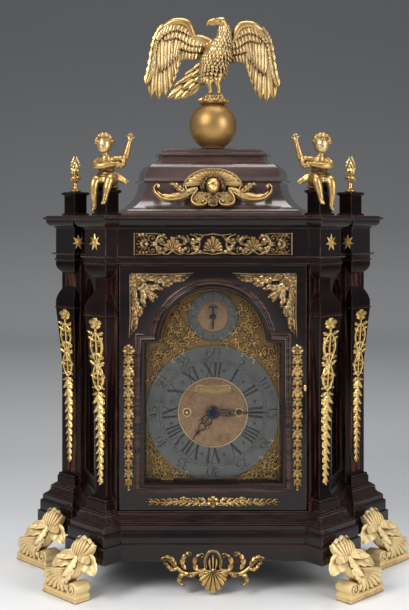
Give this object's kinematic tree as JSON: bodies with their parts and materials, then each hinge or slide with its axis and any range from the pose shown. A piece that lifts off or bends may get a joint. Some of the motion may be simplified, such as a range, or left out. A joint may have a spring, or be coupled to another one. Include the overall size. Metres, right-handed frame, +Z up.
{
  "type": "bracket clock",
  "caption": "Baroque bracket clock: ebonised case with splayed sides, diagonal pilasters, bell top, arched brass dial and gilt mounts with an eagle on a ball.",
  "frame": {"origin": "on the ground under the middle of the clock's footprint", "axes": "+Z up, the dial looks along -Y, +X is to the right of someone facing the dial"},
  "size_m": [0.5466, 0.2366, 0.7428],
  "materials": {
    "ebonised_wood": "polished black-plum",
    "gilt": "matt and burnished gilding",
    "aged_gilt": "worn brown gilding",
    "dial_brass": "matted and engraved",
    "brass": "satin",
    "silvered": "dull silvered",
    "blued_steel": "blued",
    "steel": "satin",
    "oak": "plain oiled",
    "glass": "clear"
  },
  "bodies": {
    "case": {"plinth_base": "ebonised_wood", "pilaster_front_left": "ebonised_wood", "pilaster_rear_left": "ebonised_wood", "pilaster_front_right": "ebonised_wood", "pilaster_rear_right": "ebonised_wood", "front_frame": "ebonised_wood", "side_panel_left": "ebonised_wood", "side_glass_left": "glass", "side_panel_right": "ebonised_wood", "side_glass_right": "glass", "back_frame": "ebonised_wood", "entablature": "ebonised_wood", "bell_top": "ebonised_wood", "pedestal_front_left": "ebonised_wood", "pedestal_rear_left": "ebonised_wood", "pedestal_front_right": "ebonised_wood", "pedestal_rear_right": "ebonised_wood", "dial_plate": "dial_brass", "chapter_ring": "silvered", "strike_ring": "silvered", "movement_front_plate": "brass", "movement_back_plate": "brass", "bell": "brass", "seat_board": "oak", "pilaster_mount_front_left": "gilt", "pilaster_mount_rear_left": "gilt", "pilaster_mount_front_right": "gilt", "pilaster_mount_rear_right": "gilt", "star_mount_left": "gilt", "star_mount_right": "gilt", "frieze_fret": "aged_gilt", "mask_mount": "gilt", "apron_mount": "aged_gilt", "foot_front_left": "gilt", "foot_rear_left": "gilt", "foot_front_right": "gilt", "foot_rear_right": "gilt", "ball": "aged_gilt", "eagle": "gilt", "putto_left": "gilt", "putto_right": "gilt", "urn_left": "gilt", "urn_right": "gilt"},
    "front_door": {"front_door": "ebonised_wood", "door_glass": "glass", "door_spandrel_left": "aged_gilt", "door_spandrel_right": "aged_gilt", "door_garland_left": "aged_gilt", "door_garland_right": "aged_gilt", "door_swag": "aged_gilt"},
    "door_lock_knob": {"door_knob": "gilt"},
    "back_door": {"back_door": "ebonised_wood", "back_glass": "glass"},
    "hour_hand": {"hour_hand": "blued_steel"},
    "minute_hand": {"minute_hand": "blued_steel"},
    "strike_hand": {"strike_hand": "blued_steel"},
    "going_barrel": {"going_barrel": "brass"},
    "strike_barrel": {"strike_barrel": "brass"},
    "pendulum": {"pendulum": "brass"},
    "hammer": {"hammer": "steel"}
  },
  "joints": [
    {"name": "front_door_hinge", "type": "hinge", "parent": "case", "child": "front_door", "pos_m": [-0.1195, -0.06041, 0.257], "axis": [0, 0, -1], "range_deg": [0, 110]},
    {"name": "door_knob_turn", "type": "hinge", "parent": "front_door", "child": "door_lock_knob", "pos_m": [0.1164, -0.05941, 0.258], "axis": [0, 1, 0], "range_deg": [0, 90]},
    {"name": "back_door_hinge", "type": "hinge", "parent": "case", "child": "back_door", "pos_m": [0.1445, 0.10059, 0.257], "axis": [0, 0, -1], "range_deg": [0, 110]},
    {"name": "minute_hand_turn", "type": "hinge", "parent": "case", "child": "minute_hand", "pos_m": [0, -0.04441, 0.2224], "axis": [0, 1, 0], "continuous": true},
    {"name": "hour_hand_turn", "type": "hinge", "parent": "case", "child": "hour_hand", "pos_m": [0, -0.04241, 0.2224], "axis": [0, 1, 0], "continuous": true},
    {"name": "strike_hand_turn", "type": "hinge", "parent": "case", "child": "strike_hand", "pos_m": [0, -0.04241, 0.346], "axis": [0, 1, 0], "continuous": true},
    {"name": "going_barrel_turn", "type": "hinge", "parent": "case", "child": "going_barrel", "pos_m": [-0.0335, 0.00059, 0.2224], "axis": [0, 1, 0], "continuous": true},
    {"name": "strike_barrel_turn", "type": "hinge", "parent": "case", "child": "strike_barrel", "pos_m": [0.0335, 0.00059, 0.2224], "axis": [0, 1, 0], "continuous": true},
    {"name": "pendulum_swing", "type": "hinge", "parent": "case", "child": "pendulum", "pos_m": [0, 0.00059, 0.311], "axis": [0, 1, 0], "range_deg": [-8, 8]},
    {"name": "hammer_swing", "type": "hinge", "parent": "case", "child": "hammer", "pos_m": [0.044, 0.00059, 0.312], "axis": [0, 1, 0], "range_deg": [0, 12]}
  ],
  "couplings": [
    {"joint": "hour_hand_turn", "follows": "minute_hand_turn", "ratio": 0.083333}
  ]
}
